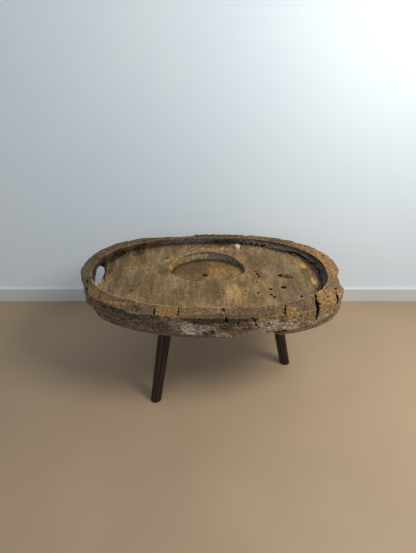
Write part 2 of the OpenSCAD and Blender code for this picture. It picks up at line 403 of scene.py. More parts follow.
ARCH = (                               # the bite in the lower front edge: x, height, half sizes
    (38, 400, 26, 17), (60, 400, 26, 21), (82, 400, 26, 28), (104, 400, 26, 38),
    (126, 402, 26, 49), (148, 405, 24, 57), (172, 405, 24, 58), (196, 404, 24, 53),
    (220, 402, 24, 45), (242, 400, 22, 36), (264, 400, 18, 22),
)


def rows_at(path, step):
    """Points about this far apart along a line of corners."""
    path = [Vector(c) for c in path]
    out = [path[0]]
    for a, b in zip(path, path[1:]):
        count = max(1, round((b - a).length / step))
        out += [a.lerp(b, (k + 1) / count) for k in range(count)]
    return out


def add_blade(work, path, up, width, depth, seed):
    """A thin wedge along a path, wide where it comes out of the face and closed below."""
    chance = np.random.default_rng(seed)
    path = rows_at(path, 0.009)
    rows = []
    for k, point in enumerate(path):
        along = (path[min(k + 1, len(path) - 1)] - path[max(k - 1, 0)]).normalized()
        side = along.cross(up).normalized()
        middle = 1.0 - 0.25 * abs(2.0 * k / (len(path) - 1) - 1.0) ** 3
        w = width * middle * chance.uniform(0.85, 1.15) / 2
        point = point + side * chance.uniform(-0.0013, 0.0013)
        low = point - up * depth * (0.45 + 0.55 * middle) * chance.uniform(0.85, 1.1)
        high = point + up * 0.006
        rows.append([work.verts.new(high - side * w), work.verts.new(high + side * w),
                     work.verts.new(low + side * w * 0.5),
                     work.verts.new(low - side * w * 0.5)])
    for a, b in zip(rows, rows[1:]):
        for k in range(4):
            work.faces.new((a[k], a[(k + 1) % 4], b[(k + 1) % 4], b[k]))
    work.faces.new(rows[0][::-1])
    work.faces.new(rows[-1])


def add_pit(work, place, across, along, up, half, seed):
    """A rough-sided pit, as a dented ball with the given half sizes."""
    chance = np.random.default_rng(seed)
    made = bmesh.ops.create_icosphere(work, subdivisions=2, radius=1.0)
    for v in made["verts"]:
        r = chance.uniform(0.82, 1.14)
        c = v.co * r
        v.co = place + across * c.x * half[0] + along * c.y * half[1] + up * c.z * half[2]


def turned(degrees):
    a = math.radians(degrees)
    return Vector((math.cos(a), math.sin(a), 0)), Vector((-math.sin(a), math.cos(a), 0))


def front_edge(x):
    """Y of the slab's front face at this x."""
    bend = FRONT_BENDS[0] if x < 0 else FRONT_BENDS[1]
    return -FRONT_HALF[1] * (1 - min(0.999, abs(x) / FRONT_HALF[0]) ** bend) ** (1 / bend)


cuts = bmesh.new()
UP = Vector((0, 0, 1))
seed = 10
for path, width, depth in RIM_CRACKS:
    seed += 1
    add_blade(cuts, [(x / 1000, y / 1000, RIM_TOP) for x, y in path], UP, width / 1000,
              depth / 1000, seed)
for path, width, depth in SIDE_CRACKS:
    seed += 1
    add_blade(cuts, [(x / 1000, front_edge(x / 1000), z / 1000) for x, z in path],
              Vector((0, -1, 0)), width / 1000, depth / 1000, seed)
for x, y, a, b, deep, turn in FLOOR_PITS:
    seed += 1
    across, along = turned(turn)
    add_pit(cuts, Vector((x, y, 0)) / 1000 + UP * floor_height(y / 1000), across,
            along, UP, (a / 850, b / 700, deep / 600), seed)
for x, y, a, b, deep, turn in RIM_PITS:
    seed += 1
    across, along = turned(turn)
    add_pit(cuts, Vector((x / 1000, y / 1000, RIM_TOP + 0.001)), across, along, UP,
            (a / 1000, b / 1000, deep / 1000), seed)
front_pits = [(x, z, -0.001, (a, b, deep)) for x, z, a, b, deep, turn in SIDE_PITS]
front_pits += [(x, z, 0.010, (a, b, 60)) for x, z, a, b in ARCH]
for x, z, inset, half in front_pits:
    seed += 1
    add_pit(cuts, Vector((x / 1000, front_edge(x / 1000) + inset, z / 1000)),
            Vector((1, 0, 0)), UP, Vector((0, 1, 0)), [size / 1000 for size in half], seed)


def wall_foot(turns):
    """Points along the foot of the hollow's wall, from and to these angles in degrees."""
    out = []
    for a in np.radians(np.arange(turns[0], turns[1], 1.5)):
        c, s = math.cos(a), math.sin(a)
        bend = HOLLOW_BENDS[(0 if c > 0 else 1) if s > 0 else (3 if c > 0 else 2)]
        x, y = (HOLLOW_MIDDLE[k] + (HOLLOW_HALF[k] - FOOT_IN) *
                math.copysign(abs(way) ** (2 / bend), way) for k, way in enumerate((c, s)))
        out.append((x, y, floor_height(y) + 0.006))
    return out


def new_group(name, kind, inputs, outputs):
    """A node group whose inputs are kinds, names and values, and outputs kinds and names."""
    tree = bpy.data.node_groups.new(name, kind)
    for sort, label in outputs:
        tree.interface.new_socket(label, in_out="OUTPUT", socket_type="NodeSocket" + sort)
    for sort, label, value in inputs:
        socket = tree.interface.new_socket(label, in_out="INPUT",
                                           socket_type="NodeSocket" + sort)
        if value is not None:
            socket.default_value = value
    return tree, tree.nodes.new("NodeGroupInput"), tree.nodes.new("NodeGroupOutput")


def set_inputs(modifier, **values):
    """Sets a Geometry Nodes modifier's inputs by their identifiers."""
    for item in modifier.node_group.interface.items_tree:
        if item.item_type == "SOCKET" and item.in_out == "INPUT":
            key = item.name.replace(" ", "_")
            if key in values:
                modifier[item.identifier] = values[key]


def random_value(tree, given, kind, low, high):
    """A random value for each point, drawn with the tree's own seed."""
    made = put(tree, "FunctionNodeRandomValue", {"data_type": kind}, Min=low, Max=high,
               Seed=given.outputs["Seed"])
    return next(s for s in made.outputs if s.enabled)


def balls_tree(name, inputs, detail, spread):
    """Balls of random size where spread puts points, made real and given their finish."""
    tree, given, out = new_group(name, "GeometryNodeTree", (
        ("Geometry", "Geometry", None), *inputs, ("Material", "Finish", None)),
        (("Geometry", "Geometry"),))
    ball = put(tree, "GeometryNodeMeshIcoSphere", Radius=1.0, Subdivisions=detail)
    placed = put(tree, "GeometryNodeInstanceOnPoints", Instance=ball.outputs[0],
                 **spread(tree, given))
    real = put(tree, "GeometryNodeRealizeInstances", Geometry=placed.outputs[0])
    done = put(tree, "GeometryNodeSetMaterial", Geometry=real.outputs[0],
               Material=given.outputs["Finish"])
    tree.links.new(done.outputs[0], out.inputs[0])
    return tree


def along_path(tree, given):
    """One flattened, turned ball near each point of a path: a rotted pocket."""
    shift = random_value(tree, given, "FLOAT_VECTOR", (-1, -1, -1), (1, 1, 1))
    far = put(tree, "VectorMath", {"operation": "SCALE"}, Vector=shift,
              Scale=given.outputs["Scatter"])
    moved = put(tree, "GeometryNodeSetPosition", Geometry=given.outputs[0],
                Offset=far.outputs[0])
    size = random_value(tree, given, "FLOAT", given.outputs["Smallest"],
                        given.outputs["Largest"])
    turn = random_value(tree, given, "FLOAT_VECTOR", (-0.3, -0.3, -3), (0.3, 0.3, 3))
    flat = put(tree, "CombineXYZ", X=size, Y=size,
               Z=sums(tree, "MULTIPLY", size, given.outputs["Flatness"]))
    return {"Points": moved.outputs[0], "Rotation": turn, "Scale": flat.outputs[0]}


def over_faces(tree, given):
    """Small balls scattered over the faces of a shape: worm holes."""
    points = put(tree, "GeometryNodeDistributePointsOnFaces", Mesh=given.outputs[0],
                 Density=given.outputs["Density"], Seed=given.outputs["Seed"])
    ends = [put(tree, "CombineXYZ", X=end, Y=end, Z=end).outputs[0]
            for end in (given.outputs["Smallest"], given.outputs["Largest"])]
    return {"Points": points.outputs["Points"],
            "Scale": random_value(tree, given, "FLOAT_VECTOR", *ends)}


old_wood, wood_tree, wood_shader = new_finish("old_wood")


def dig(tree, start, name, **values):
    """Adds what a Geometry Nodes tree makes from a starting object to the cuts."""
    step = start.modifiers.new(name, "NODES")
    step.node_group = tree
    set_inputs(step, Finish=old_wood, **values)
    mesh = evaluated(start)
    start.modifiers.remove(step)
    cuts.from_mesh(mesh)
    bpy.data.meshes.remove(mesh)


def discard(thing):
    mesh = thing.data
    bpy.data.objects.remove(thing)
    bpy.data.meshes.remove(mesh)


def dig_along(name, points, **values):
    """Adds rotted pockets near these points to the cuts."""
    start = sheet_of(name, points, [])
    dig(pockets, start, "pockets", Scatter=0.004, **values)
    discard(start)


pockets = balls_tree("rotted_pockets", (
    ("Float", "Smallest", 0.004), ("Float", "Largest", 0.01), ("Float", "Flatness", 0.6),
    ("Float", "Scatter", 0.004), ("Int", "Seed", 3)), 2, along_path)
POCKET_ROWS = (                        # angles along the wall's foot, sizes, seed
    ((60, 93), 0.005, 0.009, 4), ((8, 40), 0.005, 0.012, 7), ((-20, 8), 0.006, 0.013, 9),
    ((38, 60), 0.003, 0.006, 11), ((128, 152), 0.005, 0.012, 13),
)
for turns, small, large, pick in POCKET_ROWS:
    dig_along("pocket_path", wall_foot(turns), Smallest=small, Largest=large,
              Flatness=0.75, Seed=pick)

DAMAGE = ((-366, 196), (-354, 204), (-350, 216), (-339, 203), (-336, 220), (-329, 236),
          (-324, 250), (-318, 228), (-349, 234), (-364, 212), (-316, 262), (-343, 246),
          (-326, 206), (-372, 206), (-332, 192), (-312, 244), (-358, 226), (-322, 216))
dig_along("damage", [(x / 1000, y / 1000, floor_height(y / 1000) + 0.004 +
                      max(0, y - 235) / 1200) for x, y in DAMAGE],
          Smallest=0.0035, Largest=0.0095, Flatness=0.9, Seed=21)

bowl = merged_copy("bowl", "carved_bowl")
cad_skin = skin_of(bowl.data)

worm = balls_tree("worm_holes", (
    ("Float", "Density", 60.0), ("Float", "Smallest", 0.002), ("Float", "Largest", 0.004),
    ("Int", "Seed", 5)), 1, over_faces)
dig(worm, bowl, "worm", Density=95.0, Smallest=0.0019, Largest=0.0034, Seed=8)
cut_mesh = bpy.data.meshes.new("cuts")
bmesh.ops.recalc_face_normals(cuts, faces=cuts.faces)
cuts.to_mesh(cut_mesh)
cuts.free()
cut_skin = skin_of(cut_mesh)
cutter = shown("cuts", cut_mesh)

bowl.data.materials.clear()
step = bowl.modifiers.new("cut", "BOOLEAN")
step.operation = "DIFFERENCE"
step.solver = "EXACT"
step.use_self = True
step.object = cutter
step = bowl.modifiers.new("skin", "REMESH")
step.mode = "VOXEL"
step.voxel_size = VOXEL
bake_down(bowl)
discard(cutter)


def averaged(values, pairs, turns, share=0.5):
    """Evens out values over the mesh, a few passes from each point to its neighbours."""
    single = values.ndim == 1
    values = values[:, None] if single else values
    count = np.maximum(np.bincount(pairs.ravel(), minlength=len(values)), 1)[:, None]
    for _ in range(turns):
        total = np.stack([np.bincount(pairs[:, 0], column[pairs[:, 1]], len(values)) +
                          np.bincount(pairs[:, 1], column[pairs[:, 0]], len(values))
                          for column in values.T], axis=1)
        values = values * (1 - share) + share * total / count
    return values[:, 0] if single else values


def inside_hollow(p):
    """Metres in from the hollow's outline at the rim, below zero outside it."""
    x = (p[:, 0] - HOLLOW_MIDDLE[0]) / HOLLOW_HALF[0]
    y = (p[:, 1] - HOLLOW_MIDDLE[1]) / HOLLOW_HALF[1]
    back_right, back_left, front_left, front_right = HOLLOW_BENDS
    bend = np.where(y > 0, np.where(x > 0, back_right, back_left),
                    np.where(x > 0, front_right, front_left))
    s = (np.abs(x) ** bend + np.abs(y) ** bend) ** (1 / bend)
    r = np.hypot(p[:, 0] - HOLLOW_MIDDLE[0], p[:, 1] - HOLLOW_MIDDLE[1])
    return r * (1.0 / np.maximum(s, 1e-6) - 1.0)


def slot_place(p):
    """Places along and across the hand slot, and how far outside its outline."""
    x, y = p[:, 0] - SLOT_MIDDLE[0], p[:, 1] - SLOT_MIDDLE[1]
    c, s = math.cos(SLOT_TURN), math.sin(SLOT_TURN)
    across, along = x * c + y * s, y * c - x * s
    past = np.maximum(np.abs(along) - SLOT_STRAIGHT, 0)
    return across, along, np.hypot(across, past) - SLOT_HALF


def distance_to(skin, p, most):
    """How far each point lies from a surface, or the most that is asked for."""
    found = (skin.find_nearest(Vector(c), most)[3] for c in p)
    return np.array([most if d is None else d for d in found])


pairs = edge_pairs(bowl.data)
p = mesh_points(bowl.data)
keep_sharp = fall(distance_to(cut_skin, p, 0.006), 0.0015, 0.004)
even = averaged(p, pairs, WORN_TURNS)
p = p + (even - p) * (1.0 - 0.85 * keep_sharp)[:, None]
set_points(bowl.data, p)

n = mesh_normals(bowl.data)
deep = inside_hollow(p)
on_floor = rise(deep, 0.004, 0.010) * rise(n[:, 2], 0.5, 0.9)
under = rise(-n[:, 2], 0.4, 0.8)
side = rise(-deep, 0.0, 0.01) * fall(np.abs(n[:, 2]), 0.5, 0.8)
rim = rise(-deep, -0.004, 0.004) * rise(n[:, 2], 0.4, 0.8)
near_leg = np.zeros(len(p))
for leg_node in ("leg_front_left", "leg_rear_left", "leg_right"):
    a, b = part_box(leg_node)
    toward = Vector(((a.x + b.x) / 2, (a.y + b.y) / 2))
    reach = np.hypot(p[:, 0] - toward.x * SOCKET_WAY, p[:, 1] - toward.y * SOCKET_WAY)
    near_leg = np.maximum(near_leg, fall(reach, *AROUND_LEG))
near_leg *= fall(p[:, 2], UNDERSIDE + 0.038, UNDERSIDE + 0.045)

adze = 1.0 - np.abs(layered(p * (1, 1, 1.5), 0.045, 3, 2))
flakes = layered(p, (0.026, 0.026, 0.014), 6, 3)
checks = np.clip(layered(p, (0.011, 0.05, 0.03), 9, 2) - 0.25, 0, 1) * 2
fibre = layered(p, (0.007, 0.05, 0.010), 12, 2)
sink = side * (0.0018 + 0.0016 * adze + 0.0032 * np.clip(flakes, -0.6, 1))
sink += rim * (0.0010 + 0.0018 * layered(p, 0.03, 15, 3) + 0.0016 * flakes + 0.004 * checks)
sink += on_floor * (0.0007 + 0.0008 * layered(p, (0.05, 0.16, 0.1), 18, 2) + 0.0005 * fibre)
inner = rise(deep, -0.002, 0.002) * (1 - on_floor)
sink += inner * (0.0012 + 0.0018 * flakes + 0.0008 * fibre)
sink += under * (0.0010 + 0.0012 * adze)
edge_wear = rise(-deep, 0.0, 0.006) * rise(p[:, 2], RIM_TOP - 0.012, RIM_TOP)
worn_oval = np.hypot((p[:, 0] - WORN_OVAL[0]) / WORN_OVAL[2],
                     (p[:, 1] - WORN_OVAL[1]) / WORN_OVAL[3])
sink += on_floor * 0.0050 * fall(worn_oval, 0.3, 1.0)
sink += edge_wear * 0.0035 * np.clip(layered(p, 0.022, 25, 3) + 0.2, 0, 1)
slot_x, slot_y, slot_out = slot_place(p)
slot_wall = fall(slot_out, 0.001, 0.004) * fall(np.abs(n[:, 2]), 0.4, 0.7)
ragged = 0.0030 * layered(p, (0.03, 0.022, 0.03), 28, 3)
narrow = np.where(slot_x > 0, 0.006 * rise(-slot_y, 0.0, 0.05) +
                  0.005 * rise(slot_y, 0.02, 0.07), 0.0)
slot_rim = fall(slot_out, 0.003, 0.010)
slot_rim *= rise(slot_x, 0.0, 0.01) * rise(n[:, 2], 0.5, 0.9)
lean = rise(np.arctan2(p[:, 1], p[:, 0]), -0.3, -0.1) * rise(p[:, 0], 0.05, 0.25)
sink += inner * lean * 0.008 * rise(p[:, 2], RIM_TOP - 0.040, RIM_TOP - 0.005)
foot = inner * rise(p[:, 0], 0.40, 0.47) * rise(p[:, 1], -0.11, -0.06)
foot *= fall(p[:, 2], RIM_TOP - 0.040, RIM_TOP - 0.012)
sink = np.clip(sink, 0.0, 2 * SINK) * (1 - near_leg) * (1 - 0.6 * keep_sharp)
sink = sink * (1 - slot_wall) + slot_wall * (ragged - narrow) + slot_rim * 0.0030
sink -= foot * (0.007 + 0.003 * flakes)
set_points(bowl.data, held_inside(p - n * sink[:, None]))

step = bowl.modifiers.new("thin", "DECIMATE")
step.ratio = min(1.0, MOST_FACES / (2 * len(bowl.data.polygons)))
bake_down(bowl)
set_points(bowl.data, held_inside(mesh_points(bowl.data)))


def brushed(p, spots, seed, edge=0.35):
    """Ragged patches, each a middle, half sizes in x and y, a turn and a strength."""
    noise = layered(p, 0.028, seed, 4)
    total = np.zeros(len(p))
    for x, y, a, b, turn, strength in spots:
        c, s = math.cos(math.radians(turn)), math.sin(math.radians(turn))
        u = ((p[:, 0] - x / 1000) * c + (p[:, 1] - y / 1000) * s) / (a / 1000)
        v = ((p[:, 1] - y / 1000) * c - (p[:, 0] - x / 1000) * s) / (b / 1000)
        r = np.hypot(u, v) + noise * edge
        total = np.maximum(total, strength * fall(r, 0.55, 1.2))
    return total


def lay_mask(mesh, name, values):
    layer = mesh.attributes.new(name, "FLOAT", "POINT")
    layer.data.foreach_set("value", np.clip(values, 0, 1).astype(np.float32))


def lay(name, values):
    lay_mask(bowl.data, name, values)


p = mesh_points(bowl.data)
n = mesh_normals(bowl.data)
pairs = edge_pairs(bowl.data)
deep = inside_hollow(p)
# The inside of cracks, pits and worm holes is marked to be painted near black: dirt with painted
# shade.
in_cut = fall(distance_to(cut_skin, p, 0.006), 0.0012, 0.003)
in_cut *= rise(distance_to(cad_skin, p, 0.02), 0.0015, 0.005)
bend_out = ((p - averaged(p, pairs, 2, 1.0)) * n).sum(axis=1)
wide_bend = averaged(((p - averaged(p, pairs, 16, 1.0)) * n).sum(axis=1), pairs, 2)
blur = layered(p, 0.02, 40, 3)
height_in = p[:, 2] - floor_height(p[:, 1])
in_recess = RECESS[2] + 0.004 - np.hypot(p[:, 0] - RECESS[0], p[:, 1] - RECESS[1])
upward = rise(n[:, 2], 0.45, 0.8)
recess = rise(in_recess, 0.0, 0.006) * rise(-height_in, 0.003, 0.022 - 0.018 * (1 - upward))
slot_x, slot_y, slot_out = slot_place(p)
burnt = fall(slot_out + 0.003 * blur, 0.005, 0.008) * rise(slot_x, -0.004, 0.006)
burnt *= rise(slot_y, -0.060, -0.030)
far_end = fall(slot_out + 0.005 * blur, 0.008, 0.013) * rise(slot_y, 0.040, 0.056)
burnt = np.maximum(burnt, far_end) * fall(p[:, 2], RIM_TOP - 0.020, RIM_TOP - 0.010)
in_cut = np.maximum(in_cut, 0.92 * burnt)
# The peg hole and a diamond round it are painted near black: painted shade in the hole.
peg = np.abs(p[:, 0] - PEG[0]) + np.abs(p[:, 1] - PEG[1]) + 0.002 * blur
in_cut = np.maximum(in_cut, fall(peg + 0.004 * blur, 0.0165, 0.0215))
centre_way = np.stack([-p[:, 0], -p[:, 1]], axis=1)
centre_way /= np.maximum(np.linalg.norm(centre_way, axis=1), 1e-6)[:, None]
facing_in = rise((n[:, :2] * centre_way).sum(axis=1), 0.15, 0.45)
facing_in *= rise(deep, -0.020, -0.014) * fall(p[:, 2], 0.508, 0.516)
hollow = np.maximum(rise(deep, -0.003, 0.003), facing_in)
lay("rim", (1 - hollow) * upward * rise(p[:, 2], 0.495, 0.508))
lay("wall", hollow * (1 - upward * fall(height_in, 0.004, 0.012))
    * (1 - recess) * rise(p[:, 2], 0.46, 0.47))
lay("side", (1 - hollow) * (1 - upward))
lay("under", rise(-n[:, 2], 0.5, 0.9))
lay("recess_floor", recess * upward)
lay("recess_wall", recess * (1 - upward))
# nook_wide and nook mark hollows and the feet of the walls, which are painted darker: dirt with
# painted shade.
lay("nook_wide", rise(-wide_bend, 0.0004, 0.0035))
# edge marks convex edges, which are painted lighter: rubbed wear with a painted highlight.
lay("edge", rise(bend_out, 0.0001, 0.0007))
lay("nook", rise(-bend_out, 0.0001, 0.0007))

FLOOR_DARK = (
    (4, -105, 64, 92, 0, 0.75), (-70, -110, 90, 80, 0, 0.45), (-342, 222, 34, 40, 30, 1.0),
    (-430, 176, 26, 44, -35, 0.9),
    (-458, 140, 16, 30, -20, 1.0), (250, -100, 40, 50, 20, 0.35), (448, -70, 22, 26, 0, 0.7),
    (300, -150, 30, 60, 0, 0.35), (332, 13, 34, 20, -18, 1.0), (-448, 84, 14, 60, 0, 0.8),
    (-400, -80, 40, 60, 20, 0.4), (-300, -60, 60, 110, 0, 0.25), (134, 258, 24, 22, 0, 0.8),
    (60, 262, 90, 9, -2, 0.6),
)
FLOOR_GOLD = (
    (113, -115, 52, 85, 0, 0.9), (40, 250, 96, 24, 0, 0.8), (424, 112, 26, 34, 20, 1.0),
    (450, -28, 14, 34, 0, 1.0), (60, 60, 80, 90, 0, 0.4), (-175, 130, 26, 50, -35, 0.8),
    (210, -60, 60, 60, 0, 0.3), (-100, -150, 90, 50, 0, 0.4), (250, -190, 120, 30, 0, 0.4),
)
FLOOR_GREY = (
    (338, -124, 34, 13, 10, 1.0), (330, 60, 90, 60, 0, 0.4), (-250, 150, 110, 60, 0, 0.4),
    (-150, 90, 60, 120, 0, 0.3), (390, -110, 40, 40, 0, 0.4), (-330, -40, 60, 110, 0, 0.3),
)
SOOT_AND_SHADE = (                               # black rot and dirt inside the hollow, and painted shade along the foot of its wall
    (-448, 156, 9, 30, -32, 0.9), (-428, 188, 10, 26, -40, 1.0), (-342, 222, 20, 30, 25, 0.5),
    (60, 299, 118, 8, 0, 1.0), (222, 276, 60, 6, -14, 0.7), (330, 232, 50, 6, -28, 0.7),
    (400, 190, 30, 8, -40, 0.7), (444, 130, 11, 40, 25, 1.0), (467, 60, 10, 46, 14, 1.0),
    (476, -8, 10, 40, 0, 0.9), (466, -62, 12, 26, -14, 0.8), (452, -84, 10, 10, 0, 0.8),
    (-200, 302, 90, 5, 5, 0.4), (474, 96, 5, 30, 20, 0.7), (490, 30, 5, 40, 8, 0.7),
)
# Black rot and dirt, and painted shade in the thin dark lines along the wall's foot.
soot_and_shade = hollow * brushed(p, SOOT_AND_SHADE, 45, 0.5)
in_cut = np.maximum(in_cut, 0.85 * soot_and_shade)
lay("cut", in_cut)
floor_mask = hollow * upward * (1 - recess)
for name, spots, pick in (("dark", FLOOR_DARK, 50), ("gold", FLOOR_GOLD, 55),
                          ("grey", FLOOR_GREY, 60)):
    lay(name, floor_mask * brushed(p, spots, pick))
AMBER = (                              # rubbed lumps and chips of bare golden wood
    (418, 104, 20, 14, -20, 1.0), (432, 92, 16, 9, 10, 0.9), (404, 120, 14, 9, 0, 0.9),
    (450, -22, 11, 26, 0, 0.8), (456, -52, 9, 12, 0, 0.8), (-20, 246, 34, 10, 0, 0.7),
    (60, 252, 44, 12, 0, 0.8), (112, 238, 20, 8, 0, 0.6), (-190, 150, 12, 34, -38, 0.8),
    (-176, 96, 9, 16, 0, 0.9), (30, 60, 50, 60, 0, 0.3), (95, -90, 36, 50, 0, 0.35),
)
chips = 0.15 + 0.85 * rise(layered(p, (0.008, 0.022, 0.01), 66, 2), -0.10, 0.12)
lay("amber", hollow * chips * brushed(p, AMBER, 58, 0.5))
STAIN = ((338, -125, 27, 11, 4, 1.0), (362, -118, 14, 7, 0, 0.6))
lay("stain", floor_mask * brushed(p, STAIN, 59, 0.4))
# The front lip: chipped bare wood, with a painted highlight along the inner edge of the front rim.
lip = fall(np.abs(deep + 0.001), 0.002, 0.007) * rise(p[:, 2], 0.500, 0.510)
lip *= rise(-p[:, 1], 0.05, 0.12) * rise(layered(p, 0.016, 62, 3), -0.25, 0.25)
lay("lip", lip * (0.45 + 0.55 * rise(-p[:, 0], 0.1, 0.3)))
RIM_GOLD = (
    (301, -300, 22, 40, 0, 0.55), (440, -215, 60, 60, 20, 0.6), (510, 40, 40, 130, 0, 0.6),
    (-130, -300, 110, 40, 0, 0.7), (-360, -244, 60, 10, -14, 0.9), (-470, -180, 40, 50, 0, 0.4),
    (100, -290, 120, 40, 0, 0.4), (470, 150, 50, 30, -50, 0.6), (520, -240, 40, 80, 20, 0.9),
    (425, 212, 44, 10, -38, 1.0), (-200, -322, 60, 12, -4, 0.7), (-60, -334, 60, 8, 0, 0.6),
)
RIM_DARK = (
    (-285, -285, 50, 30, -10, 0.7), (-75, -292, 26, 24, 0, 0.6), (30, -330, 150, 14, 0, 0.8),
    (0, 325, 210, 10, 0, 0.7), (402, -240, 14, 50, 0, 0.8), (-500, -110, 26, 50, 0, 0.6),
    (-240, 310, 110, 14, 12, 0.4), (330, -325, 50, 14, 0, 0.5), (160, -305, 90, 34, 0, 0.55),
    (-510, 60, 24, 70, 0, 0.35),
)
lay("rim_gold", brushed(p, RIM_GOLD, 65))
lay("rim_dark", brushed(p, RIM_DARK, 70))


def side_patches(p, spots, seed):
    """As brushed, on the front face: x and height in place of x and y."""
    turned_up = np.stack([p[:, 0], p[:, 2], p[:, 1]], axis=1)
    return brushed(turned_up, spots, seed, 0.45) * rise(-p[:, 1], 0.0, 0.1)


SIDE_PALE = (
    (-76, 474, 34, 36, 0, 1.0), (-20, 462, 44, 22, 0, 0.5), (215, 480, 60, 26, 0, 0.55),
    (300, 468, 50, 26, 0, 0.6), (-290, 512, 44, 6, 0, 0.7), (50, 436, 40, 12, 0, 0.5),
    (400, 470, 60, 30, 0, 0.2), (-130, 486, 40, 16, 0, 0.4),
)
SIDE_GOLD = (
    (190, 500, 50, 24, 0, 0.8), (200, 450, 80, 16, 0, 0.8), (440, 490, 70, 36, 0, 0.8),
    (-500, 480, 50, 44, 0, 0.4), (330, 504, 60, 14, 0, 0.6), (60, 440, 60, 12, 0, 0.4),
)
SIDE_DARK = (
    (20, 505, 150, 16, 0, 1.0), (-300, 500, 130, 14, 0, 0.6), (-20, 444, 14, 12, 0, 0.85),
    (8, 452, 10, 14, 0, 0.75), (60, 470, 30, 40, 0, 0.6), (-190, 470, 40, 40, 0, 0.4),
    (262, 442, 26, 9, 0, 0.9), (125, 462, 40, 10, 0, 0.6), (-540, 470, 30, 50, 0, 0.8),
)
for name, spots, pick in (("side_pale", SIDE_PALE, 75), ("side_gold", SIDE_GOLD, 80),
                          ("side_dark", SIDE_DARK, 85)):
    lay(name, side_patches(p, spots, pick))


def grain_group():
    """Fibres and annual bands along one direction, from stretched noise."""
    tree, given, out = new_group("wood_grain", "ShaderNodeTree", (
        ("Vector", "Place", None), ("Vector", "Stretch", (1, 1, 1)), ("Float", "Waver", 0.3)),
        (("Float", "Bands"), ("Float", "Fibres"), ("Float", "Height")))
    at = given.outputs["Place"]
    drift = put(tree, "TexNoise", Vector=at, Scale=5.0, Detail=2.0).outputs["Color"]
    drifted = put(tree, "VectorMath", {"operation": "MULTIPLY_ADD"})
    drifted.inputs[1].default_value = (0.06, 0.06, 0.06)
    stretched = put(tree, "VectorMath", {"operation": "MULTIPLY"})
    for start, end in ((drift, drifted.inputs[0]), (at, drifted.inputs[2]),
                       (drifted.outputs[0], stretched.inputs[0]),
                       (given.outputs["Stretch"], stretched.inputs[1])):
        tree.links.new(start, end)
    bands = put(tree, "TexNoise", Vector=stretched.outputs[0], Scale=26.0, Detail=4.0,
                Roughness=0.6).outputs["Fac"]
    fibres = put(tree, "TexNoise", Vector=stretched.outputs[0], Scale=120.0, Detail=5.0,
                 Roughness=0.65).outputs["Fac"]
    tree.links.new(ease(tree, bands, 0.34, 0.66), out.inputs["Bands"])
    tree.links.new(ease(tree, fibres, 0.36, 0.64), out.inputs["Fibres"])
    tree.links.new(sums(tree, "MULTIPLY_ADD", bands, 0.6, fibres), out.inputs["Height"])
    return tree


def weather_group():
    """Blotches and specks of weathering at a chosen size."""
    tree, given, out = new_group("weathering", "ShaderNodeTree", (
        ("Vector", "Place", None), ("Float", "Size", 1.0)),
        (("Float", "Blotch"), ("Float", "Mottle"), ("Float", "Specks"), ("Float", "Pits"),
         ("Float", "Height")))
    at = given.outputs["Place"]
    scale = sums(tree, "DIVIDE", 1.0, given.outputs["Size"])
    kinds = (("Blotch", 9.0, 6.0, 0.62, 0.38, 0.62), ("Mottle", 48.0, 5.0, 0.68, 0.40, 0.62),
             ("Specks", 190.0, 3.0, 0.6, 0.56, 0.72))
    noises = {}
    for name, often, detail, coarse, low, high in kinds:
        noises[name] = put(tree, "TexNoise", Vector=at, Detail=detail, Roughness=coarse,
                           Scale=sums(tree, "MULTIPLY", scale, often)).outputs["Fac"]
        tree.links.new(ease(tree, noises[name], low, high), out.inputs[name])
    shift = put(tree, "VectorMath", {"operation": "ADD"})
    tree.links.new(at, shift.inputs[0])
    shift.inputs[1].default_value = (3.1, 7.7, 1.9)
    rot = put(tree, "TexNoise", Vector=shift.outputs[0],
              Scale=sums(tree, "MULTIPLY", scale, 62.0), Detail=3.0, Roughness=0.55)
    pits = ease(tree, rot.outputs["Fac"], 0.585, 0.655)
    tree.links.new(pits, out.inputs["Pits"])
    uneven = sums(tree, "MULTIPLY_ADD", noises["Mottle"], 0.7, noises["Specks"])
    tree.links.new(sums(tree, "SUBTRACT", uneven, pits), out.inputs["Height"])
    return tree


GRAIN = grain_group()
WEATHER = weather_group()


def grouped(tree, group, **inputs):
    return fill(tree, put(tree, "Group", {"node_tree": group}), inputs).outputs


def mask(tree, name):
    return put(tree, "Attribute", {"attribute_type": "GEOMETRY",
                                   "attribute_name": name}).outputs["Fac"]


def coated(tree, tone, *coats):
    """Lays shades on a tone in turn, each by a share of a mask or a pattern."""
    for amount, share, shade, *how in coats:
        amount = mask(tree, amount) if isinstance(amount, str) else amount
        tone = blend(tree, sums(tree, "MULTIPLY", amount, share), tone, shade, *how)
    return tone


wt = wood_tree
TIMES = "MULTIPLY"
place = put(wt, "TexCoord").outputs["Object"]
grain = grouped(wt, GRAIN, Place=place, Stretch=(1.0, 0.16, 1.0))
weather = grouped(wt, WEATHER, Place=place, Size=1.0)
fine = grouped(wt, WEATHER, Place=place, Size=0.45)
across = put(wt, "SeparateXYZ", Vector=place).outputs["X"]

# The floor of the hollow: warm grey brown, streaked across, with dark and golden zones.
floor_tone = coated(
    wt, blend(wt, weather["Blotch"], (0.165, 0.105, 0.046), (0.250, 0.168, 0.084)),
    ("gold", 0.75, (0.330, 0.210, 0.080)), ("grey", 0.75, (0.175, 0.136, 0.092)),
    ("dark", 0.75, (0.085, 0.048, 0.019)), (grain["Bands"], 0.8, (0.54, 0.50, 0.45), TIMES),
    (grain["Fibres"], 0.8, (1.65, 1.65, 1.65), TIMES),
    (fine["Mottle"], 0.45, (0.58, 0.53, 0.47), TIMES),
    ("stain", 0.85, (0.088, 0.086, 0.078)), (fine["Pits"], 0.35, (0.040, 0.026, 0.014)))

